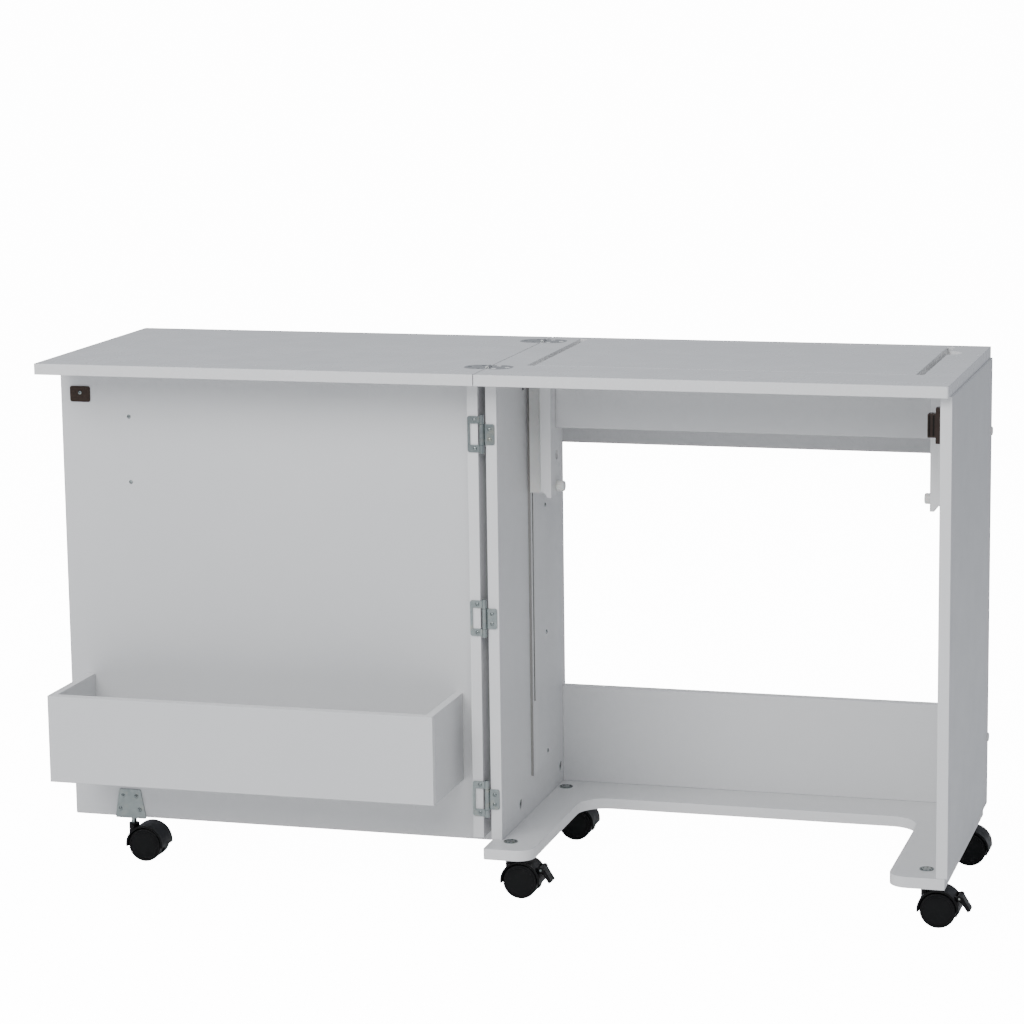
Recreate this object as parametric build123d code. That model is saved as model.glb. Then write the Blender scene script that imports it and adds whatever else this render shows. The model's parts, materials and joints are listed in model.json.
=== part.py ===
from build123d import *
import os
from math import cos, radians, sin

os.makedirs("parts", exist_ok=True)

# ---- overall layout, mm; X right, Y back, Z up from the floor ----
top_z = 752.0
board = 16.0
under_z = top_z - board
main_w = 650.0
leaf_w = 650.0
depth = 422.0
seam = 1.5
edge_r = 0.7
shift_x = -11.35
shift_y = -190.0

# cabinet carcass
left_x0, left_x1 = -2.5, 13.5
right_x0, right_x1 = 636.5, 652.5
left_front = 65.0
right_front = 18.5
rear_y = 420.0
base_z0, base_z1 = 61.0, 77.0
foot_left_x, foot_right_x = 68.0, 570.0
bay_y = 318.0
base_rear = 412.0
rear_panel_y = rear_y - board
rear_panel_top = 224.5
rail_bottom = 596.5

# lift opening, platform and hangers
open_x0, open_x1 = 47.0, 601.0
open_y0, open_y1 = 106.0, 402.0
plat_x0, plat_x1 = 57.5, 590.5
hanger_t = 16.0
hanger_xl, hanger_xr = 38.5, 596.5
hanger_y0, hanger_y1 = 200.0, 264.0
hanger_z0, hanger_z1 = 548.0, 730.0
knob_y, knob_z = 232.0, 561.0
track_t = 4.0
track_y0, track_y1 = 222.0, 316.0
track_z0 = 131.0
groove_w = 7.0
apron_y0, apron_y1 = 228.0, 244.0
apron_z0 = 646.0

# gate door, its hinge axis and the bin it carries
hinge_x, hinge_y = -7.0, 61.5
side_x0, side_x1 = -29.5, -13.5
door_x0 = -657.0
door_y0 = 105.5
door_z0, door_z1 = 64.3, 734.0
hinge_zs = (659.5, 398.0, 136.5)
bin_x0, bin_x1 = -631.0, -54.0
bin_y0 = -42.0
bin_z0, bin_z1 = 151.5, 279.0
bin_t = 12.0
handle_x = -552.0
handle_zs = (567.0, 663.0)

# round-ended top hinges
top_hinge_ys = (79.0, 369.0)
pivot_x, pivot_z = -seam / 2, top_z + 0.2
plate_len, plate_w, plate_t = 34.0, 44.0, 2.5

# casters: swivel axis positions, all trailing toward +X
caster_xy = {"fl": (27.0, 61.0), "fr": (618.0, 61.0), "rl": (27.0, 368.0), "rr": (618.0, 368.0)}
door_caster = (-568.5, 113.5)
braked_tags = ("fl", "fr")
wheel_r, wheel_t, wheel_gap = 25.0, 14.5, 5.5
trail = 18.0


def slab(x0, x1, y0, y1, z0, z1):
    size = (x1 - x0, y1 - y0, z1 - z0)
    return Pos((x0 + x1) / 2, (y0 + y1) / 2, (z0 + z1) / 2) * Box(*size)


def rod(axis, centre, length, r):
    turn = {"x": Rot(0, 90, 0), "y": Rot(90, 0, 0), "z": Rot(0, 0, 0)}[axis]
    return Pos(*centre) * turn * Cylinder(r, length)


def joined(solids):
    return Compound(children=list(solids))


def eased(solid, r=edge_r):
    """Round every edge of a board the way its edge band is trimmed."""
    return fillet(solid.edges(), r)


def prism_y(points, y0, y1):
    """Extrude an XZ outline from y0 to y1."""
    face = make_face(Polyline(*[(p[0], 0, p[1]) for p in points], close=True))
    return Pos(0, y0, 0) * extrude(face, amount=y1 - y0, dir=(0, 1, 0))


def screw(point, out, head_r=3.2, shank_r=1.6, length=11.0):
    """Pan-head screw: head outside the surface point, shank running inward."""
    body = Pos(0, 0, 0.7) * Cylinder(head_r, 1.4)
    body = fillet(body.faces().sort_by(Axis.Z)[-1].edges(), 0.6)
    slot = Pos(0, 0, 1.2) * (Box(3.6, 0.7, 1.0) + Box(0.7, 3.6, 1.0))
    body = body - slot + Pos(0, 0, -length / 2) * Cylinder(shank_r, length)
    plane = Plane(origin=point, z_dir=out)
    return plane.location * body


def hole(point, out, r=1.6, length=11.0):
    plane = Plane(origin=point, z_dir=out)
    return plane.location * (Pos(0, 0, -length / 2) * Cylinder(r, length + 0.002))


def drill(solid, points, out, r=1.6, length=11.0):
    for p in points:
        solid = solid - hole(p, out, r, length)
    return solid


def export(name, shape):
    export_step(Pos(shift_x, shift_y, 0) * shape, f"parts/{name}.step")


# ---- main top: opening with finger notch, hinge recesses ----
def rounded_plate(sign, z0, z1, grow=0.0):
    """Half-oval hinge plate lying beside the seam, sign +1 main side, -1 leaf side."""
    near = pivot_x + sign * 1.35
    far = pivot_x + sign * (plate_len + 0.75 + grow)
    half = plate_w / 2 + grow
    blank = slab(min(near, far), max(near, far), -half, half, z0, z1)
    corners = blank.edges().filter_by(Axis.Z).sort_by(Axis.X)
    outer = corners[-2:] if sign > 0 else corners[:2]
    return fillet(outer, 20.0)


def seam_pocket(y):
    """Clearance around the knuckle, cut through both board edges at the surface."""
    return slab(pivot_x - 3.3, pivot_x + 3.3, y - 8.2, y + 8.2, top_z - 3.4, top_z + 4)


main_top = slab(0, main_w, 0, depth, under_z, top_z)
main_top -= slab(open_x0, open_x1, open_y0, open_y1, under_z - 1, top_z + 1)
main_top -= rod("z", (open_x1 + 1, 338, top_z - 8), 40, 18.0)
leaf_top = slab(-seam - leaf_w, -seam, 0, depth, under_z, top_z)
main_top = fillet(main_top.edges().filter_by(Axis.Z).group_by(Axis.X)[-1], 3.0)
leaf_top = fillet(leaf_top.edges().filter_by(Axis.Z).group_by(Axis.X)[0], 3.0)
main_top = fillet(main_top.edges().group_by(Axis.Z)[-1] + main_top.edges().group_by(Axis.Z)[0], edge_r)
leaf_top = fillet(leaf_top.edges().group_by(Axis.Z)[-1] + leaf_top.edges().group_by(Axis.Z)[0], edge_r)

main_plates, leaf_plates, top_pins = [], [], []
top_plate_screws_main, top_plate_screws_leaf = [], []
for y in top_hinge_ys:
    for sign in (1, -1):
        pocket = Pos(0, y, 0) * rounded_plate(sign, top_z - plate_t, top_z + 1)
        plate = Pos(0, y, 0) * rounded_plate(sign, top_z - plate_t, top_z)
        plate -= seam_pocket(y)
        spots = [(pivot_x + sign * 11, y - 14), (pivot_x + sign * 11, y + 14), (pivot_x + sign * 27, y)]
        spots = [(px, py, top_z) for px, py in spots]
        # flat-head screws finish flush with the plate
        heads = []
        for p in spots:
            cone = Pos(p[0], p[1], top_z - 1.25) * Cone(1.7, 3.4, 2.5)
            plate -= cone
            cross = Pos(p[0], p[1], top_z) * (Box(4.2, 0.8, 1.2) + Box(0.8, 4.2, 1.2))
            heads.append(cone - cross)
        if sign > 0:
            knuckle = rod("y", (pivot_x, y, pivot_z), 4.6, 2.5)
            web = slab(pivot_x, pivot_x + 3.3, y - 2.3, y + 2.3, top_z - plate_t, top_z)
            plate = plate + (knuckle + web - rod("y", (pivot_x, y, pivot_z), 20, 1.25))
            main_top -= pocket + seam_pocket(y)
            main_plates.append(plate)
            top_plate_screws_main += heads
        else:
            for dy in (-5.0, 5.0):
                knuckle = rod("y", (pivot_x, y + dy, pivot_z), 4.6, 2.5)
                web = slab(pivot_x - 3.3, pivot_x, y + dy - 2.3, y + dy + 2.3, top_z - plate_t, top_z)
                plate = plate + (knuckle + web - rod("y", (pivot_x, y, pivot_z), 20, 1.2))
            leaf_top -= pocket + seam_pocket(y)
            leaf_plates.append(plate)
            top_plate_screws_leaf += heads
    top_pins.append(rod("y", (pivot_x, y, pivot_z), 14.8, 1.2))

# ---- carcass boards ----
left_panel = eased(slab(left_x0, left_x1, left_front, rear_y, base_z1, under_z))
right_panel = eased(slab(right_x0, right_x1, right_front, rear_y, base_z1, under_z))
rear_panel = eased(slab(left_x1, right_x0, rear_panel_y, rear_y, base_z1, rear_panel_top))
rear_rail = eased(slab(left_x1, right_x0, rear_panel_y, rear_y, rail_bottom, under_z))

base = slab(left_x0 + 0.5, 648.5, right_front, base_rear, base_z0, base_z1)
bay = slab(foot_left_x, foot_right_x, right_front - 60, bay_y, base_z0 - 1, base_z1 + 1)
bay = fillet(bay.edges().filter_by(Axis.Z).group_by(Axis.Y)[-1], 42.0)
base -= bay
front_edges = base.edges().filter_by(Axis.Z).group_by(Axis.Y)[0].sort_by(Axis.X)
base = fillet(front_edges[1:3], 26.0)
base = fillet(base.edges().filter_by(Axis.Z).group_by(Axis.Y)[0].sort_by(Axis.X)[0], 4.0)
base = fillet(base.edges().filter_by(Axis.Z).group_by(Axis.Y)[-1], 4.0)
base = fillet(base.edges().group_by(Axis.Z)[-1] + base.edges().group_by(Axis.Z)[0], edge_r)

# cam discs that draw the boards together, set in 15 mm blind bores
cams = []
cam_low, cam_high = base_z1 + 26.4, under_z - 26.4
cam_spots = [(165.0, cam_low), (388.0, cam_low), (205.0, cam_high), (388.0, cam_high)]
for x_face, out in ((left_x1, 1), (right_x0, -1)):
    for y, z in cam_spots:
        bore = rod("x", (x_face - out * 6, y, z), 12.01, 7.5)
        cam = rod("x", (x_face - out * 6.6, y, z), 10.8, 7.2)
        cam -= Pos(x_face - out * 1.4, y, z) * Box(2.4, 7, 1.2)
        cam -= Pos(x_face - out * 1.4, y, z) * Box(2.4, 1.2, 7)
        if out > 0:
            left_panel -= bore
        else:
            right_panel -= bore
        cams.append(cam)

# screw caps on the outer faces, over the rail and the rear panel joints
caps = []
for x_face, out in ((left_x0, -1), (right_x1, 1)):
    for z in (631.0, 179.0):
        cap = rod("x", (x_face + out * 1.3, 410.5, z), 2.6, 6.5)
        edge = cap.faces().sort_by(Axis.X)[-1 if out > 0 else 0].edges()
        caps.append(fillet(edge, 1.6))

# ---- lift tracks on the side panels ----
tracks = []
for x0, x1 in ((left_x1, left_x1 + track_t), (right_x0 - track_t, right_x0)):
    track = slab(x0, x1, track_y0, track_y1, track_z0, under_z)
    half = groove_w / 2
    track -= slab(x0 - 1, x1 + 1, knob_y - half, knob_y + half, track_z0 + 110, under_z - 8)
    tracks.append(track)
track_screw_pts = [(y, z) for y in (300.0,) for z in (150.0, 330.0, 520.0, 715.0)]
track_screws = []
for index, (x_face, out) in enumerate(((left_x1 + track_t, 1), (right_x0 - track_t, -1))):
    pts = [(x_face, y, z) for y, z in track_screw_pts]
    axis = (out, 0, 0)
    tracks[index] = drill(tracks[index], pts, axis)
    if out > 0:
        left_panel = drill(left_panel, pts, axis)
    else:
        right_panel = drill(right_panel, pts, axis)
    track_screws += [screw(p, axis) for p in pts]

# ---- lift: platform, hangers, apron, slide blocks, clamp studs ----
platform = slab(plat_x0, plat_x1, open_y0 + 1.5, open_y1 - 1.5, under_z, top_z)
platform = fillet(platform.edges().filter_by(Axis.Z), 2.0)
platform = fillet(platform.edges().group_by(Axis.Z)[-1] + platform.edges().group_by(Axis.Z)[0], edge_r)
apron = eased(slab(hanger_xl + hanger_t, hanger_xr, apron_y0, apron_y1, apron_z0, under_z))


def hanger(x_in, x_out):
    """Hanger board; x_in faces the kneehole, x_out faces the side panel."""
    body = eased(slab(min(x_in, x_out), max(x_in, x_out), hanger_y0, hanger_y1, hanger_z0, hanger_z1))
    sign = 1 if x_out > x_in else -1
    body -= rod("y", (x_out + sign * 1.0, (hanger_y0 + hanger_y1) / 2, hanger_z0 - 2), 80, 11.0)
    body -= rod("x", (x_in + sign * 5, knob_y, 606.0), 10.01, 7.0)
    body -= rod("x", ((x_in + x_out) / 2, knob_y, 606.0), 30, 3.0)
    body -= rod("x", ((x_in + x_out) / 2, knob_y, knob_z), 30, 2.5)
    return body


hangers = [hanger(hanger_xl + hanger_t, hanger_xl), hanger(hanger_xr, hanger_xr + hanger_t)]
blocks, studs, knobs, lift_bolts, angles = [], [], [], [], []
for index, sign in ((0, 1), (1, -1)):
    track_face = left_x1 + track_t if sign > 0 else right_x0 - track_t
    hanger_out = hanger_xl if sign > 0 else hanger_xr + hanger_t
    hanger_in = hanger_out + sign * hanger_t
    x0, x1 = sorted((track_face + sign * 0.5, hanger_out))
    block = slab(x0, x1, knob_y - 14, knob_y + 22, hanger_z0 + 4, hanger_z1 - 8)
    rib_x = sorted((track_face - sign * (track_t - 0.5), track_face + sign * 0.5))
    block += slab(*rib_x, knob_y - 3.1, knob_y + 3.1, hanger_z0 + 4, hanger_z1 - 8)
    block -= rod("x", ((x0 + x1) / 2, knob_y, 606.0), 60, 3.0)
    block -= rod("x", ((x0 + x1) / 2, knob_y, knob_z), 60, 2.5)
    blocks.append(block)
    # stud shared by the knob, and the bolt sunk in the 14 mm bore
    stud_x0, stud_x1 = track_face - sign * 3.3, hanger_in + sign * 9.0
    studs.append(rod("x", ((stud_x0 + stud_x1) / 2, knob_y, knob_z), abs(stud_x1 - stud_x0), 2.5))
    bolt_x0, bolt_x1 = track_face - sign * 3.3, hanger_in - sign * 10.0
    bolt = rod("x", ((bolt_x0 + bolt_x1) / 2, knob_y, 606.0), abs(bolt_x1 - bolt_x0), 3.0)
    bolt += rod("x", (bolt_x1 + sign * 2.2, knob_y, 606.0), 4.4, 5.0)
    socket = Pos(bolt_x1 + sign * 3.2, knob_y, 606.0) * Rot(0, 90, 0)
    bolt -= socket * extrude(RegularPolygon(2.9, 6), 2.6, both=True)
    lift_bolts.append(bolt)
    knob = rod("x", (hanger_in + sign * 6.0, knob_y, knob_z), 11.4, 7.8)
    far_edge = knob.faces().sort_by(Axis.X)[-1 if sign > 0 else 0].edges()
    knob = fillet(far_edge, 2.2)
    for step in range(12):
        turn = radians(step * 30)
        flute = (hanger_in + sign * 6.0, knob_y + 8.7 * cos(turn), knob_z + 8.7 * sin(turn))
        knob -= rod("x", flute, 14, 1.4)
    knob -= rod("x", (hanger_in + sign * 4.0, knob_y, knob_z), 10.4, 2.56)
    knobs.append(knob)
    # steel angle behind the apron ties the hanger to the platform
    leg = slab(*sorted((hanger_in, hanger_in + sign * 2)), 246, 262, 700, under_z)
    foot = slab(*sorted((hanger_in, hanger_in + sign * 38)), 246, 262, under_z - 2, under_z)
    angles.append(leg + foot)
platform_cleat = slab(93, 558, apron_y1, apron_y1 + 18, under_z - 18, under_z)

# ---- gate door ----
side_board = eased(slab(side_x0, side_x1, left_front, door_y0, base_z1 + 2, door_z1))
door = slab(door_x0, side_x1, door_y0, door_y0 + board, door_z0, door_z1)
door = fillet(door.edges().filter_by(Axis.Y), 2.0)
door = fillet(door.edges().group_by(Axis.Y)[-1] + door.edges().group_by(Axis.Y)[0], edge_r)
bin_front = slab(bin_x0, bin_x1, bin_y0, bin_y0 + bin_t, bin_z0, bin_z1)
bin_front = fillet(bin_front.edges().filter_by(Axis.X), 1.2)
bin_front = fillet(bin_front.edges().group_by(Axis.X)[-1] + bin_front.edges().group_by(Axis.X)[0], edge_r)
bin_left = eased(slab(bin_x0, bin_x0 + bin_t, bin_y0 + bin_t, door_y0, bin_z0, bin_z1))
bin_right = eased(slab(bin_x1 - bin_t, bin_x1, bin_y0 + bin_t, door_y0, bin_z0, bin_z1))
bin_floor = slab(bin_x0 + bin_t, bin_x1 - bin_t, bin_y0 + bin_t, door_y0, bin_z0 + 8, bin_z0 + 16)

large_leaves, small_leaves, hinge_pins = [], [], []
door_screws, cabinet_screws = [], list(track_screws)
leaf_y0, leaf_y1 = left_front - 1.8, left_front
for z in hinge_zs:
    frame = slab(-28.5, hinge_x, leaf_y0, leaf_y1, z - 25.5, z + 25.5)
    frame = fillet(frame.edges().filter_by(Axis.Y).group_by(Axis.X)[0], 3.0)
    frame -= slab(-24.8, hinge_x + 1, leaf_y0 - 1, leaf_y1 + 1, z - 15.0, z + 15.0)
    for dz in (-20.75, 20.75):
        frame += rod("z", (hinge_x, hinge_y, z + dz), 11.5, 3.4)
    frame -= rod("z", (hinge_x, hinge_y, z), 80, 1.7)
    plate = slab(hinge_x, 10.5, leaf_y0, leaf_y1, z - 14.6, z + 14.6)
    plate = fillet(plate.edges().filter_by(Axis.Y).group_by(Axis.X)[-1], 3.0)
    plate += rod("z", (hinge_x, hinge_y, z), 29.2, 3.4)
    plate -= rod("z", (hinge_x, hinge_y, z), 80, 1.75)
    big_pts = [(-18.0, leaf_y0, z - 20.3), (-18.0, leaf_y0, z + 20.3)]
    small_pts = [(3.6, leaf_y0, z - 7.0), (3.6, leaf_y0, z + 7.0)]
    frame = drill(frame, big_pts, (0, -1, 0))
    side_board = drill(side_board, big_pts, (0, -1, 0))
    plate = drill(plate, small_pts, (0, -1, 0))
    left_panel = drill(left_panel, small_pts, (0, -1, 0))
    door_screws += [screw(p, (0, -1, 0), 2.8) for p in big_pts]
    cabinet_screws += [screw(p, (0, -1, 0), 2.8) for p in small_pts]
    large_leaves.append(frame)
    small_leaves.append(plate)
    pin = rod("z", (hinge_x, hinge_y, z), 54.0, 1.7)
    pin += rod("z", (hinge_x, hinge_y, z + 27.2), 1.4, 3.0)
    hinge_pins.append(pin)

strike = slab(-642, -611, door_y0 - 1.5, door_y0, 683.0, 706.0)
strike = fillet(strike.edges().filter_by(Axis.Y), 3.0)
strike_pt = [(-626.5, door_y0 - 1.5, 696.5)]
strike = drill(strike, strike_pt, (0, -1, 0))
door = drill(door, strike_pt, (0, -1, 0))
strike_screw = screw(strike_pt[0], (0, -1, 0), 3.0)

# bow handle on the outer face, its two screws come through from the inner face
handle_y = door_y0 + board
grip_z0, grip_z1 = handle_zs[0] - 5, handle_zs[1] + 5
handle = slab(handle_x - 5, handle_x + 5, handle_y + 22, handle_y + 28, grip_z0, grip_z1)
for z in handle_zs:
    handle += slab(handle_x - 5, handle_x + 5, handle_y, handle_y + 26, z - 5, z + 5)
handle = fillet(handle.edges().filter_by(Axis.X).group_by(Axis.Y)[-1], 5.0)
handle_pts = [(handle_x, door_y0, z) for z in handle_zs]
door = drill(door, handle_pts, (0, -1, 0), 2.0, 24.0)
handle = drill(handle, handle_pts, (0, -1, 0), 2.0, 24.0)
door_screws += [screw(p, (0, -1, 0), 3.0, 2.0, 24.0) for p in handle_pts]

# trapezoid caster plate, bent back under the board; the stem plugs into the board edge
cx, cy = door_caster
plate_y0 = door_y0 - 2.0
shelf_z0 = door_z0 - 2.0
trap_xz = [(-593.5, shelf_z0), (-545.0, shelf_z0), (-553.0, 106.0), (-586.5, 106.0)]
trap = prism_y(trap_xz, plate_y0, door_y0)
trap = fillet(trap.edges().filter_by(Axis.Y), 2.0)
shelf = slab(cx - 17, cx + 17, plate_y0, door_y0 + board - 0.5, shelf_z0, door_z0)
caster_plate = trap + shelf - rod("z", (cx, cy, shelf_z0), 8, 4.1)
door -= rod("z", (cx, cy, door_z0 + 12.0), 30.0, 4.1)
plate_pts = [(-580.5, 96.0), (-559.5, 96.0), (-585.5, 76.0), (-555.0, 76.0)]
plate_pts = [(x, plate_y0, z) for x, z in plate_pts]
caster_plate = drill(caster_plate, plate_pts, (0, -1, 0))
door = drill(door, plate_pts, (0, -1, 0))
door_screws += [screw(p, (0, -1, 0), 3.2) for p in plate_pts]

# low glide buttons on the top edge carry the leaf
glides = []
for x in (-610.0, -330.0):
    glide = rod("z", (x, door_y0 + board / 2, door_z1 + 0.8), 1.6, 6.0)
    glides.append(fillet(glide.faces().sort_by(Axis.Z)[-1].edges(), 0.8))

# ---- magnetic catch on the right panel ----
catch = slab(619.5, 630.5, 19.6, 33.6, 680.5, 712.5)
catch += slab(630.5, right_x0, 19.6, 33.6, 672.5, 720.5)
catch = fillet(catch.edges().filter_by(Axis.Y).group_by(Axis.X)[0], 1.2)
pole_plates = []
for x0 in (620.9, 626.6):
    catch -= slab(x0, x0 + 2.2, 19.0, 31.0, 682.5, 710.5)
    pole_plates.append(slab(x0, x0 + 2.2, 19.3, 31.0, 682.5, 710.5))
catch_pts = [(630.5, 26.6, 676.2), (630.5, 26.6, 716.8)]
catch = drill(catch, catch_pts, (-1, 0, 0))
right_panel = drill(right_panel, catch_pts, (-1, 0, 0))
cabinet_screws += [screw(p, (-1, 0, 0), 2.6) for p in catch_pts]

# ---- caster sockets ----
sockets = []
for x, y in caster_xy.values():
    bore = rod("z", (x, y, 69), 18, 5.5)
    base -= bore
    socket = rod("z", (x, y, 69), 16, 5.5) + rod("z", (x, y, base_z1 + 0.7), 1.4, 10.0)
    for step in range(8):
        turn = radians(45 * step)
        socket += rod("z", (x + 7.6 * cos(turn), y + 7.6 * sin(turn), base_z1 + 1.5), 0.8, 1.3)
    socket -= rod("z", (x, y, 68), 18, 4.1)
    sockets.append(socket)


# ---- casters ----
def caster(x, y, stem_top, braked, reach=trail, neck_top=59.2):
    """Hood, steel stem with axle, twin wheels and brake lever of one caster."""
    wx, wz = x + reach, wheel_r
    shell = rod("y", (wx, y, wz), 41.0, 29.0)
    neck = rod("z", (x, y, (neck_top + 32) / 2), neck_top - 32, 7.8)
    cover = shell + neck - rod("y", (wx, y, wz), 60, 26.2)
    cover -= slab(wx - 40, wx + 40, y - 30, y + 30, -20, wz - 3)
    web = rod("y", (wx, y, wz), 2 * wheel_gap - 1.6, 27.0)
    web -= slab(wx - 40, wx + 40, y - 30, y + 30, -20, wz - 12)
    hood = cover + web
    hood -= rod("z", (x, y, 49), 24, 4.0)
    hood -= rod("y", (wx, y, wz), 60, 2.5)
    steel = rod("z", (x, y, (37 + stem_top) / 2), stem_top - 37, 4.0)
    axle = rod("y", (wx, y, wz), 2 * (wheel_gap + wheel_t) - 4, 2.5)
    wheels = []
    for sign in (-1, 1):
        mid = y + sign * (wheel_gap + wheel_t / 2)
        wheel = rod("y", (wx, mid, wz), wheel_t, wheel_r)
        wheel = fillet(wheel.edges().filter_by(GeomType.CIRCLE), 2.4)
        face = y + sign * (wheel_gap + wheel_t)
        ring = rod("y", (wx, face, wz), 1.2, 21.0) - rod("y", (wx, face, wz), 4, 19.8)
        wheel -= ring
        inner = mid - sign * 1.6
        wheel -= rod("y", (wx, inner, wz), wheel_t, 2.56)
        wheels.append(wheel)
    pieces = {"wheels": joined(wheels)}
    if braked:
        px, pz = wx + 28.6, wz + 16.5
        ears = []
        for dy in (-11.5, 11.5):
            ear = rod("y", (px, y + dy, pz), 3.0, 4.2)
            ear += slab(px - 7, px, y + dy - 1.5, y + dy + 1.5, pz - 4.2, pz + 3.0)
            ears.append(ear - rod("y", (wx, y, wz), 60, 28.0))
        for ear in ears:
            hood += ear
        hood -= rod("y", (px, y, pz), 60, 1.5)
        pin = rod("y", (px, y, pz), 26.0, 1.5)
        outline = [(px - 3.0, pz + 3.6), (px + 3.4, pz + 3.0), (px + 15.5, pz - 17.0)]
        outline += [(px + 11.0, pz - 19.5), (px + 3.5, pz - 8.5), (px - 1.6, pz - 3.8)]
        lever = prism_y(outline, y - 9.6, y + 9.6)
        lever = fillet(lever.edges().filter_by(Axis.Y), 1.0)
        lever -= rod("y", (px, y, pz), 60, 1.56)
        pieces["brake"] = lever
        pieces["steel"] = joined([steel, axle, pin])
    else:
        pieces["steel"] = joined([steel, axle])
    pieces["hood"] = hood
    return pieces


# ---- write the parts ----
export("main_top", main_top)
export("side_panel_left", left_panel)
export("side_panel_right", right_panel)
export("base_board", base)
export("rear_lower_panel", rear_panel)
export("rear_top_rail", rear_rail)
export("track_boards", joined(tracks))
export("cam_discs", joined(cams))
export("screw_caps", joined(caps))
export("caster_sockets", joined(sockets))
export("catch_body", catch)
export("catch_pole_plates", joined(pole_plates))
export("door_hinge_small_leaves", joined(small_leaves))
export("cabinet_screws", joined(cabinet_screws + top_plate_screws_main))
export("top_hinge_main_plates", joined(main_plates))
export("leaf_top", leaf_top)
export("top_hinge_leaf_plates", joined(leaf_plates))
export("top_hinge_leaf_screws", joined(top_plate_screws_leaf))
export("top_hinge_pins", joined(top_pins))
export("door_panel", door)
export("door_side_board", side_board)
export("bin_front", bin_front)
export("bin_side_left", bin_left)
export("bin_side_right", bin_right)
export("bin_floor", bin_floor)
export("door_hinge_large_leaves", joined(large_leaves))
export("door_hinge_pins", joined(hinge_pins))
export("door_screws", joined(door_screws + [strike_screw]))
export("strike_plate", strike)
export("door_handle", handle)
export("door_caster_plate", caster_plate)
export("door_glides", joined(glides))
export("lift_platform", platform)
export("lift_cleat", platform_cleat)
export("lift_apron", apron)
export("lift_hanger_left", hangers[0])
export("lift_hanger_right", hangers[1])
export("lift_slide_blocks", joined(blocks))
export("lift_fittings", joined(studs + lift_bolts + angles))
export("clamp_knob_left", knobs[0])
export("clamp_knob_right", knobs[1])
for tag, (x, y) in caster_xy.items():
    for name, shape in caster(x, y, 75.5, tag in braked_tags).items():
        export(f"caster_{tag}_{name}", shape)
for name, shape in caster(cx, cy, 88.0, False, 23.0, 53.2).items():
    export(f"caster_door_{name}", shape)
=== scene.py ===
import bpy
import bmesh
import json
import math
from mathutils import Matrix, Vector


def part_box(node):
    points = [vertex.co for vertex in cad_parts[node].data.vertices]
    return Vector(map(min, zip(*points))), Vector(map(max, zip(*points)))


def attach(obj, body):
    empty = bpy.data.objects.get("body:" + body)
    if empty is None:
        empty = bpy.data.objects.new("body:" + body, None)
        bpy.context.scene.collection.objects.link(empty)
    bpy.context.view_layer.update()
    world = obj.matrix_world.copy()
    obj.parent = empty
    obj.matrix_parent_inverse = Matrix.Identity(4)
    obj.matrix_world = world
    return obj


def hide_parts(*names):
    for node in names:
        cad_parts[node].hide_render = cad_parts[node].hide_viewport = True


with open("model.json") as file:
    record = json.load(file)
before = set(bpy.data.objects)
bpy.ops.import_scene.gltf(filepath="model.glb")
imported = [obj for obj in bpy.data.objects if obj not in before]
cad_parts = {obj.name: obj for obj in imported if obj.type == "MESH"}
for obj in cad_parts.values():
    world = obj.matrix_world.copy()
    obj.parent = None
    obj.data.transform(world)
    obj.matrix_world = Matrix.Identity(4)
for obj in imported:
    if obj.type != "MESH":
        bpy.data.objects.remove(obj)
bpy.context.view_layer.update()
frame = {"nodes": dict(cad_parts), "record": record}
nodes = frame["nodes"]
print("frame loaded:", len(nodes), "nodes")


# an sRGB hex value as linear colour
def linearColour(hexText):
    channels = [int(hexText[i:i + 2], 16) / 255 for i in (1, 3, 5)]
    return [c / 12.92 if c <= 0.04045 else ((c + 0.055) / 1.055) ** 2.4 for c in channels] + [1.0]


# one node with its settings, its plain values and its links
def addNode(tree, kind, settings=None, values=None, links=None):
    node = tree.nodes.new(kind)
    for key, value in (settings or {}).items():
        setattr(node, key, value)
    for key, value in (values or {}).items():
        node.inputs[key].default_value = value
    for key, source in (links or {}).items():
        tree.links.new(source, node.inputs[key])
    return node


def startMaterial(name):
    material = bpy.data.materials.new(name)
    material.use_nodes = True
    tree = material.node_tree
    return material, tree, tree.nodes["Principled BSDF"]


def addObject(name, data):
    thing = bpy.data.objects.new(name, data)
    bpy.context.scene.collection.objects.link(thing)
    return thing


# A look holds
#   noises: (grain in mm, detail, roughness, stretch along each axis)
#   layers: (source, span or None, colour) over the base colour, where a span is
#           (source from, source to, share of the colour at from, share at to)
#   roughness: (source, lowest, highest)    bump: (source, strength, distance in metres)
#   across: the axis of a board's thickness, which adds two sources: facing, 1 on its faces
#           and 0 on its edges, and corner, 1 on its rounded corners
#   shader: plain values
mmPerMetre = 1000.0
# a noise seldom leaves this range, so the roughness is spread over it
noiseRange = (0.3, 0.7)
spanSockets = ("From Min", "From Max", "To Min", "To Max")
evenly = (1.0, 1.0, 1.0)
cornerFacing = {"middle": 0.82, "within": 0.12}


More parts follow.
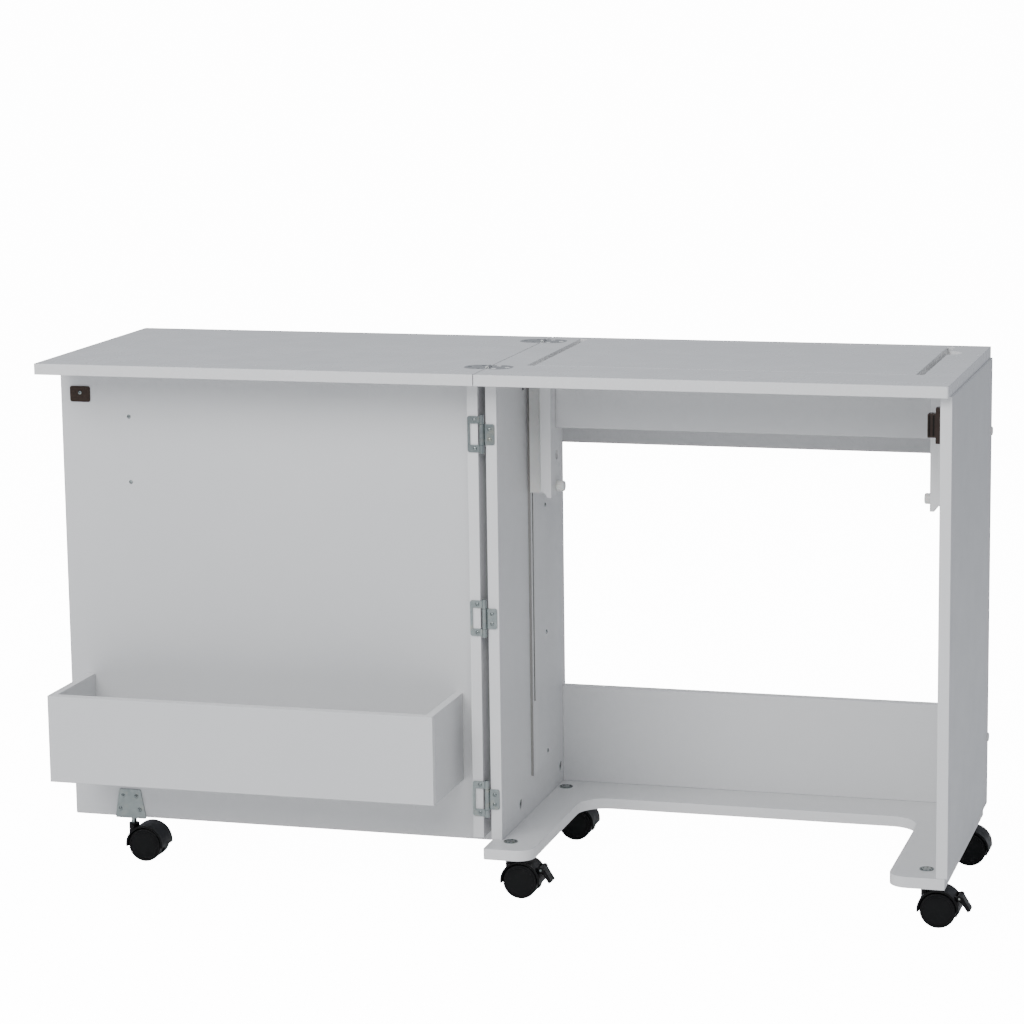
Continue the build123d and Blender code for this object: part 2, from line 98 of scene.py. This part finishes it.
def makeSurface(name, look):
    material, tree, shader = startMaterial(name)
    place = addNode(tree, "ShaderNodeTexCoord")
    sources = {}
    for key, (sizeMm, detail, rough, stretch) in look["noises"].items():
        mapped = addNode(tree, "ShaderNodeMapping", values={"Scale": stretch},
                         links={"Vector": place.outputs["Object"]})
        noise = addNode(tree, "ShaderNodeTexNoise",
                        values={"Scale": mmPerMetre / sizeMm, "Detail": detail, "Roughness": rough},
                        links={"Vector": mapped.outputs["Vector"]})
        sources[key] = noise.outputs["Fac"]
    if "across" in look:
        split = addNode(tree, "ShaderNodeSeparateXYZ", links={"Vector": place.outputs["Normal"]})
        facing = addNode(tree, "ShaderNodeMath", {"operation": "ABSOLUTE"},
                         links={0: split.outputs[look["across"]]})
        sources["facing"] = facing.outputs["Value"]
        corner = addNode(tree, "ShaderNodeMath", {"operation": "COMPARE"},
                         {1: cornerFacing["middle"], 2: cornerFacing["within"]},
                         {0: sources["facing"]})
        sources["corner"] = corner.outputs["Value"]
    # the mix node's two colours go in at 6 and 7, and its colour comes out at 2
    below = None
    for source, span, tint in look["layers"]:
        share = sources[source]
        if span:
            share = addNode(tree, "ShaderNodeMapRange", values=dict(zip(spanSockets, span)),
                            links={"Value": share}).outputs["Result"]
        mixed = addNode(tree, "ShaderNodeMix", {"data_type": "RGBA"},
                        {6: linearColour(look["base"]), 7: linearColour(tint)}, {0: share})
        if below:
            tree.links.new(below, mixed.inputs[6])
        below = mixed.outputs[2]
    tree.links.new(below, shader.inputs["Base Color"])
    source, lowest, highest = look["roughness"]
    spread = addNode(tree, "ShaderNodeMapRange",
                     values=dict(zip(spanSockets, (*noiseRange, lowest, highest))),
                     links={"Value": sources[source]})
    tree.links.new(spread.outputs["Result"], shader.inputs["Roughness"])
    source, strength, distance = look["bump"]
    bump = addNode(tree, "ShaderNodeBump", values={"Strength": strength, "Distance": distance},
                   links={"Height": sources[source]})
    tree.links.new(bump.outputs["Normal"], shader.inputs["Normal"])
    for key, value in look["shader"].items():
        shader.inputs[key].default_value = value
    return material


# melamine paper pressed on particleboard: an even satin white with a faint pearl in its gloss.
# The cut edges carry a glued PVC band, a little lighter, with a hairline beside it; the edges of
# the thin hardboard of the tracks are coloured a darker grey
boardEdges = {"band": "#dcdcdc", "darkGrey": "#8b8a88"}


def boardLook(across, lowest, highest, edge="band"):
    return {
        "across": across, "base": "#d5d5d5",
        "noises": {"drift": (260.0, 3.0, 0.5, evenly), "blotch": (45.0, 4.0, 0.6, evenly),
                   "pearl": (1.6, 2.0, 0.5, evenly)},
        "layers": [("drift", None, "#cecfd0"), ("corner", None, "#b4b5b7"),
                   ("facing", (0.35, 0.2, 0.0, 1.0), boardEdges[edge])],
        "roughness": ("blotch", lowest, highest), "bump": ("pearl", 0.35, 0.00003),
        "shader": {"IOR": 1.5},
    }


# injection-moulded nylon: fine spark-eroded texture, and a little light under the skin of the white
def nylonLook(base, tint, textureMm, lowest, highest, underSkin, gloss):
    return {
        "base": base,
        "noises": {"tone": (22.0, 3.0, 0.5, evenly), "wear": (7.0, 3.0, 0.5, evenly),
                   "erosion": (textureMm, 2.0, 0.6, evenly)},
        "layers": [("tone", None, tint)],
        "roughness": ("wear", lowest, highest), "bump": ("erosion", 0.45, 0.00004),
        "shader": {"IOR": 1.53, "Specular IOR Level": gloss, "Subsurface Weight": underSkin,
                   "Subsurface Scale": 0.002},
    }


# rolled steel sheet with a bright zinc plate: cool grey with a faint blue and straw bloom
zincLook = {
    "base": "#788080",
    "noises": {"bloom": (9.0, 3.0, 0.5, evenly), "straw": (14.0, 2.0, 0.5, evenly),
               "rolled": (0.5, 3.0, 0.6, (1.0, 1.0, 0.12))},
    "layers": [("bloom", None, "#979e9d"), ("straw", (0.55, 0.75, 0.0, 0.35), "#b5b09c")],
    "roughness": ("rolled", 0.14, 0.28), "bump": ("rolled", 0.3, 0.00002),
    "shader": {"Metallic": 1.0},
}
# die-cast zinc, nickel plated and brushed along its length: soft drawn-out highlights
nickelLook = {
    "base": "#b3b4b4",
    "noises": {"strokes": (0.6, 4.0, 0.6, (1.0, 0.06, 1.0))},
    "layers": [("strokes", None, "#c8c8c7")],
    "roughness": ("strokes", 0.28, 0.45), "bump": ("strokes", 0.35, 0.00002),
    "shader": {"Metallic": 1.0},
}
# bare rolled steel, oil-blackened: dark grey, with the light caught along the rolling
blackenedLook = {
    "base": "#1b1a19",
    "noises": {"rolled": (0.6, 3.0, 0.6, (0.15, 1.0, 1.0))},
    "layers": [("rolled", None, "#2c2a28")],
    "roughness": ("rolled", 0.35, 0.5), "bump": ("rolled", 0.3, 0.00002),
    "shader": {"Metallic": 1.0},
}
# steel strike in bronze lacquer: nearly black, with a warm sheen where the lacquer is thin
strikeLook = {
    "base": "#2a211c",
    "noises": {"thin": (3.0, 3.0, 0.5, evenly), "speckle": (0.7, 2.0, 0.5, evenly)},
    "layers": [("thin", None, "#40322a")],
    "roughness": ("thin", 0.3, 0.45), "bump": ("speckle", 0.3, 0.00003),
    "shader": {"Metallic": 0.6},
}
# polyamide wheel with a turned rim: dull black with faint rolling scuffs round the tread
wheelLook = {
    "base": "#060607",
    "noises": {"scuff": (2.2, 5.0, 0.7, (1.0, 0.25, 1.0))},
    "layers": [("scuff", (0.58, 0.72, 0.0, 0.5), "#121213")],
    "roughness": ("scuff", 0.38, 0.58), "bump": ("scuff", 0.3, 0.00005),
    "shader": {"IOR": 1.53, "Specular IOR Level": 0.16},
}

panelAxis = {
    "X": ["side_panel_left", "side_panel_right", "door_side_board", "lift_hanger_left",
          "lift_hanger_right", "bin_side_left", "bin_side_right"],
    "Y": ["rear_lower_panel", "rear_top_rail", "door_panel", "bin_front", "lift_apron"],
    "Z": ["base_board", "bin_floor", "lift_cleat"],
}
topNames = ["main_top", "leaf_top", "lift_platform"]
melamine = {axis: makeSurface("pressedMelamineAcross" + axis, boardLook(axis, 0.36, 0.48))
            for axis in panelAxis}
topMelamine = makeSurface("pressedMelamineWorktop", boardLook("Z", 0.22, 0.32))
zinc = makeSurface("zincPlatedSteel", zincLook)
darkSteel = makeSurface("blackenedSteel", blackenedLook)
whiteNylon = nylonLook("#d8d8d5", "#e0e0dd", textureMm=0.6, lowest=0.36, highest=0.5,
                       underSkin=0.08, gloss=0.5)
brownPlastic = nylonLook("#1c110b", "#2a1a11", textureMm=0.6, lowest=0.32, highest=0.46,
                         underSkin=0.0, gloss=0.3)
blackNylon = nylonLook("#050506", "#0b0b0c", textureMm=0.7, lowest=0.34, highest=0.5,
                       underSkin=0.0, gloss=0.16)
finishes = {
    # the track boards take the darker grey on their edges
    "white_hardboard": makeSurface("lacqueredHardboard", boardLook("X", 0.4, 0.52, "darkGrey")),
    "zinc_steel": zinc,
    "satin_nickel": makeSurface("brushedNickel", nickelLook),
    "white_nylon": makeSurface("whiteMouldedNylon", whiteNylon),
    "bronze_strike": makeSurface("bronzeLacquer", strikeLook),
    "brown_plastic": makeSurface("brownMouldedPlastic", brownPlastic),
    "black_nylon": makeSurface("blackMouldedNylon", blackNylon),
    "black_wheel": makeSurface("rolledNylonWheel", wheelLook),
}
slotOf = {part["node"]: part["material_slot"] for part in frame["record"]["subparts"]}
for name, item in nodes.items():
    if name in topNames:
        chosen = topMelamine
    elif name == "catch_pole_plates":
        chosen = darkSteel
    elif slotOf[name] == "white_melamine":
        chosen = melamine[next(axis for axis, names in panelAxis.items() if name in names)]
    else:
        chosen = finishes[slotOf[name]]
    for held in item.material_slots:
        held.material = chosen
print("finishes set")


# screws: pan heads with a cross recess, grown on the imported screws' own places. These sizes, in
# metres, are the tree's inputs. They are for a head radius of 3.125 mm and scale with each head
screwSizes = {
    "headHeight": 0.0016, "recessWidth": 0.00075, "recessLength": 0.0038, "recessDepth": 0.0011,
    "shankLength": 0.007,
}
# fixed in the tree, in head radii and counts
screwShape = {
    "headsPerMetre": 320.0, "recessCentre": 0.5, "shankRadius": 0.48,
    "domeSegments": 32, "domeRings": 16, "shankSides": 20,
}
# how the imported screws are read, and what the grown ones have to meet, in metres and degrees
screwReading = {
    "mergePacked": 0.00001, "shortestPanScrew": 0.009, "endReach": 0.0016, "seatBelowTop": 0.0014,
    "mergeGrown": 0.000001, "sharpFrom": 35, "boxTolerance": 0.0005,
}


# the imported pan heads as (seat, outward direction, head radius), and the outlines of the faces
# of the countersunk ones, which are shorter than a pan head's shank and stay as they are
def readScrews(item):
    solid = bmesh.new()
    solid.from_mesh(item.data)
    bmesh.ops.remove_doubles(solid, verts=solid.verts, dist=screwReading["mergePacked"])
    found, sunkFaces, seen = [], [], set()
    for start in solid.verts:
        if start in seen:
            continue
        # faces is a dictionary, because a set would list them in another order on each run
        group, faces, waiting = [], {}, [start]
        seen.add(start)
        while waiting:
            here = waiting.pop()
            group.append(here.co.copy())
            faces.update(dict.fromkeys(here.link_faces))
            for edge in here.link_edges:
                other = edge.other_vert(here)
                if other not in seen:
                    seen.add(other)
                    waiting.append(other)
        low = [min(p[k] for p in group) for k in range(3)]
        high = [max(p[k] for p in group) for k in range(3)]
        spans = [high[k] - low[k] for k in range(3)]
        if max(spans) < screwReading["shortestPanScrew"]:
            sunkFaces += [[corner.co.copy() for corner in face.verts] for face in faces]
            continue
        along = spans.index(max(spans))
        across = [k for k in range(3) if k != along]
        middle = [(low[k] + high[k]) / 2 for k in range(3)]

        def radiusNear(end):
            near = [p for p in group if abs(p[along] - end) < screwReading["endReach"]]
            return max(math.dist([p[k] for k in across], [middle[k] for k in across]) for p in near)

        # the head is the wider end
        highHead = radiusNear(high[along]) > radiusNear(low[along])
        end = high[along] if highHead else low[along]
        out = [0.0, 0.0, 0.0]
        out[along] = 1.0 if highHead else -1.0
        seat = list(middle)
        seat[along] = end - out[along] * screwReading["seatBelowTop"]
        found.append((seat, out, radiusNear(end)))
    solid.free()
    return found, sunkFaces


def screwTree(name, material):
    tree = bpy.data.node_groups.new(name, "GeometryNodeTree")
    tree.interface.new_socket("Geometry", in_out="INPUT", socket_type="NodeSocketGeometry")
    for key in screwSizes:
        tree.interface.new_socket(key, in_out="INPUT", socket_type="NodeSocketFloat")
    tree.interface.new_socket("Geometry", in_out="OUTPUT", socket_type="NodeSocketGeometry")
    entry = addNode(tree, "NodeGroupInput")
    # the sizes in head radii: the screw is built on a unit radius so each point can scale it
    inHeads = {}
    for key in screwSizes:
        inHeads[key] = addNode(tree, "ShaderNodeMath", {"operation": "MULTIPLY"},
                               {1: screwShape["headsPerMetre"]},
                               {0: entry.outputs[key]}).outputs["Value"]
    ball = addNode(tree, "GeometryNodeMeshUVSphere",
                   values={"Segments": screwShape["domeSegments"],
                           "Rings": screwShape["domeRings"], "Radius": 1.0})
    flat = addNode(tree, "ShaderNodeCombineXYZ", values={"X": 1.0, "Y": 1.0},
                   links={"Z": inHeads["headHeight"]})
    dome = addNode(tree, "GeometryNodeTransform",
                   links={"Geometry": ball.outputs["Mesh"], "Scale": flat.outputs["Vector"]})
    head = addNode(tree, "GeometryNodeMeshBoolean", {"operation": "DIFFERENCE"},
                   links={"Mesh 1": dome.outputs["Geometry"]})
    for first, second in (("recessLength", "recessWidth"), ("recessWidth", "recessLength")):
        size = addNode(tree, "ShaderNodeCombineXYZ",
                       links={"X": inHeads[first], "Y": inHeads[second],
                              "Z": inHeads["recessDepth"]})
        bar = addNode(tree, "GeometryNodeMeshCube", links={"Size": size.outputs["Vector"]})
        lifted = addNode(tree, "GeometryNodeTransform",
                         values={"Translation": (0.0, 0.0, screwShape["recessCentre"])},
                         links={"Geometry": bar.outputs["Mesh"]})
        tree.links.new(lifted.outputs["Geometry"], head.inputs["Mesh 2"])
    shank = addNode(tree, "GeometryNodeMeshCylinder",
                    values={"Vertices": screwShape["shankSides"],
                            "Radius": screwShape["shankRadius"]},
                    links={"Depth": inHeads["shankLength"]})
    # the shank hangs from the seat, so its middle is half its length below
    drop = addNode(tree, "ShaderNodeMath", {"operation": "MULTIPLY"}, {1: -0.5},
                   {0: inHeads["shankLength"]})
    down = addNode(tree, "ShaderNodeCombineXYZ", links={"Z": drop.outputs["Value"]})
    sunk = addNode(tree, "GeometryNodeTransform",
                   links={"Geometry": shank.outputs["Mesh"], "Translation": down.outputs["Vector"]})
    whole = addNode(tree, "GeometryNodeJoinGeometry")
    for piece in (head.outputs["Mesh"], sunk.outputs["Geometry"]):
        tree.links.new(piece, whole.inputs["Geometry"])
    outward = addNode(tree, "GeometryNodeInputNamedAttribute", {"data_type": "FLOAT_VECTOR"},
                      {"Name": "outward"})
    radius = addNode(tree, "GeometryNodeInputNamedAttribute", {"data_type": "FLOAT"},
                     {"Name": "headRadius"})
    turned = addNode(tree, "FunctionNodeAlignRotationToVector", {"axis": "Z"},
                     links={"Vector": outward.outputs["Attribute"]})
    spread = addNode(tree, "GeometryNodeInstanceOnPoints",
                     links={"Points": entry.outputs["Geometry"],
                            "Instance": whole.outputs["Geometry"],
                            "Rotation": turned.outputs["Rotation"],
                            "Scale": radius.outputs["Attribute"]})
    real = addNode(tree, "GeometryNodeRealizeInstances",
                   links={"Geometry": spread.outputs["Instances"]})
    painted = addNode(tree, "GeometryNodeSetMaterial", values={"Material": material},
                      links={"Geometry": real.outputs["Geometry"]})
    addNode(tree, "NodeGroupOutput", links={"Geometry": painted.outputs["Geometry"]})
    return tree


def growScrews(name, node, body):
    screws, sunkFaces = readScrews(nodes[node])
    seats = bpy.data.meshes.new(name + "Seats")
    seats.from_pydata([s[0] for s in screws], [], [])
    # both attributes exist before either is filled, because adding one moves the others in memory
    seats.attributes.new("outward", "FLOAT_VECTOR", "POINT")
    seats.attributes.new("headRadius", "FLOAT", "POINT")
    for index, (seat, out, head) in enumerate(screws):
        seats.attributes["outward"].data[index].vector = out
        seats.attributes["headRadius"].data[index].value = head
    carrier = addObject(name + "Carrier", seats)
    tree = screwTree(name + "Tree", zinc)
    modifier = carrier.modifiers.new("screws", "NODES")
    modifier.node_group = tree
    for socket in tree.interface.items_tree:
        if socket.in_out == "INPUT" and socket.name in screwSizes:
            modifier[socket.identifier] = screwSizes[socket.name]
    bpy.context.view_layer.update()
    shaped = carrier.evaluated_get(bpy.context.evaluated_depsgraph_get())
    mesh = bpy.data.meshes.new_from_object(shaped)
    bpy.data.objects.remove(carrier)
    mesh.name = name
    whole = bmesh.new()
    whole.from_mesh(mesh)
    for outline in sunkFaces:
        whole.faces.new([whole.verts.new(point) for point in outline])
    bmesh.ops.remove_doubles(whole, verts=whole.verts, dist=screwReading["mergeGrown"])
    whole.to_mesh(mesh)
    whole.free()
    piece = addObject(name, mesh)
    for face in mesh.polygons:
        face.use_smooth = True
    mesh.set_sharp_from_angle(angle=math.radians(screwReading["sharpFrom"]))
    low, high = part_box(node)
    slack = screwReading["boxTolerance"]
    for corner in mesh.vertices:
        for k in range(3):
            if not low[k] - slack <= corner.co[k] <= high[k] + slack:
                raise ValueError(f"{name} leaves the box of {node} at {tuple(corner.co)}")
    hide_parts(node)
    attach(piece, body)
    print(name, len(screws), "pan heads", len(sunkFaces), "countersunk faces",
          len(mesh.polygons), "faces")


growScrews("cabinetScrewHeads", "cabinet_screws", "cabinet")
growScrews("doorScrewHeads", "door_screws", "door")


studioLook = {
    "floorHalf": 90.0, "floorColour": "#f7f7f7", "floorRoughness": 0.9,
    "glowColour": "#ffffff", "floorGlow": 14.0, "floorLift": 0.1,
    "worldColour": "#edf3ff", "worldStrength": 0.46, "backdropStrength": 20.0,
    "lights": {
        "overheadSoftbox": {"at": (-0.5, 0.4, 3.2), "size": 3.2, "watts": 34.0,
                            "towards": (0, 0, 0.45)},
        "frontLeftSoftbox": {"at": (-1.2, -3.3, 2.7), "size": 2.4, "watts": 112.0,
                             "towards": (0, 0, 0.45)},
        "kneeholeFill": {"at": (0.55, -2.2, 1.9), "size": 0.9, "watts": 17.0,
                         "towards": (0.35, 0.1, 0.3)},
    },
}
cameraLook = {
    "at": (1.245505, -4.413891, 1.355300), "turn": (1.395723357, 0.013804402, 0.279159085),
    "sensor": 36.0, "lens": 114.4635, "shiftX": 0.012292, "shiftY": -0.010373, "reach": 200.0,
}


# a strength with one value for the camera and another for the light it gives
def splitStrength(tree, toScene, toCamera, target):
    seen = addNode(tree, "ShaderNodeLightPath").outputs["Is Camera Ray"]
    power = addNode(tree, "ShaderNodeMapRange",
                    values=dict(zip(spanSockets, (0.0, 1.0, toScene, toCamera))),
                    links={"Value": seen})
    tree.links.new(power.outputs["Result"], target)


def buildStudio():
    ground = bpy.data.meshes.new("floor")
    half = studioLook["floorHalf"]
    ground.from_pydata([(-half, -half, 0), (half, -half, 0), (half, half, 0), (-half, half, 0)], [],
                       [(0, 1, 2, 3)])
    floor = addObject("floor", ground)
    material, tree, shader = startMaterial("paleStudioFloor")
    shader.inputs["Base Color"].default_value = linearColour(studioLook["floorColour"])
    shader.inputs["Roughness"].default_value = studioLook["floorRoughness"]
    # a lit ground: it lifts the low and inner faces, and looks paler still to the camera
    shader.inputs["Emission Color"].default_value = linearColour(studioLook["glowColour"])
    splitStrength(tree, studioLook["floorLift"], studioLook["floorGlow"],
                  shader.inputs["Emission Strength"])
    ground.materials.append(material)
    world = bpy.data.worlds.new("studio")
    world.use_nodes = True
    sky = world.node_tree.nodes["Background"]
    sky.inputs["Color"].default_value = linearColour(studioLook["worldColour"])
    splitStrength(world.node_tree, studioLook["worldStrength"], studioLook["backdropStrength"],
                  sky.inputs["Strength"])
    bpy.context.scene.world = world
    for name, light in studioLook["lights"].items():
        data = bpy.data.lights.new(name, "AREA")
        data.size = light["size"]
        data.energy = light["watts"]
        lamp = addObject(name, data)
        lamp.location = light["at"]
        aim = Vector(light["towards"]) - Vector(light["at"])
        lamp.rotation_euler = aim.to_track_quat("-Z", "Y").to_euler()


def placeCamera():
    data = bpy.data.cameras.new("viewCamera")
    data.sensor_width = cameraLook["sensor"]
    data.lens = cameraLook["lens"]
    data.shift_x = cameraLook["shiftX"]
    data.shift_y = cameraLook["shiftY"]
    data.clip_end = cameraLook["reach"]
    camera = addObject("viewCamera", data)
    camera.location = cameraLook["at"]
    camera.rotation_euler = cameraLook["turn"]
    bpy.context.scene.camera = camera


buildStudio()
placeCamera()
print("studio and camera ready")
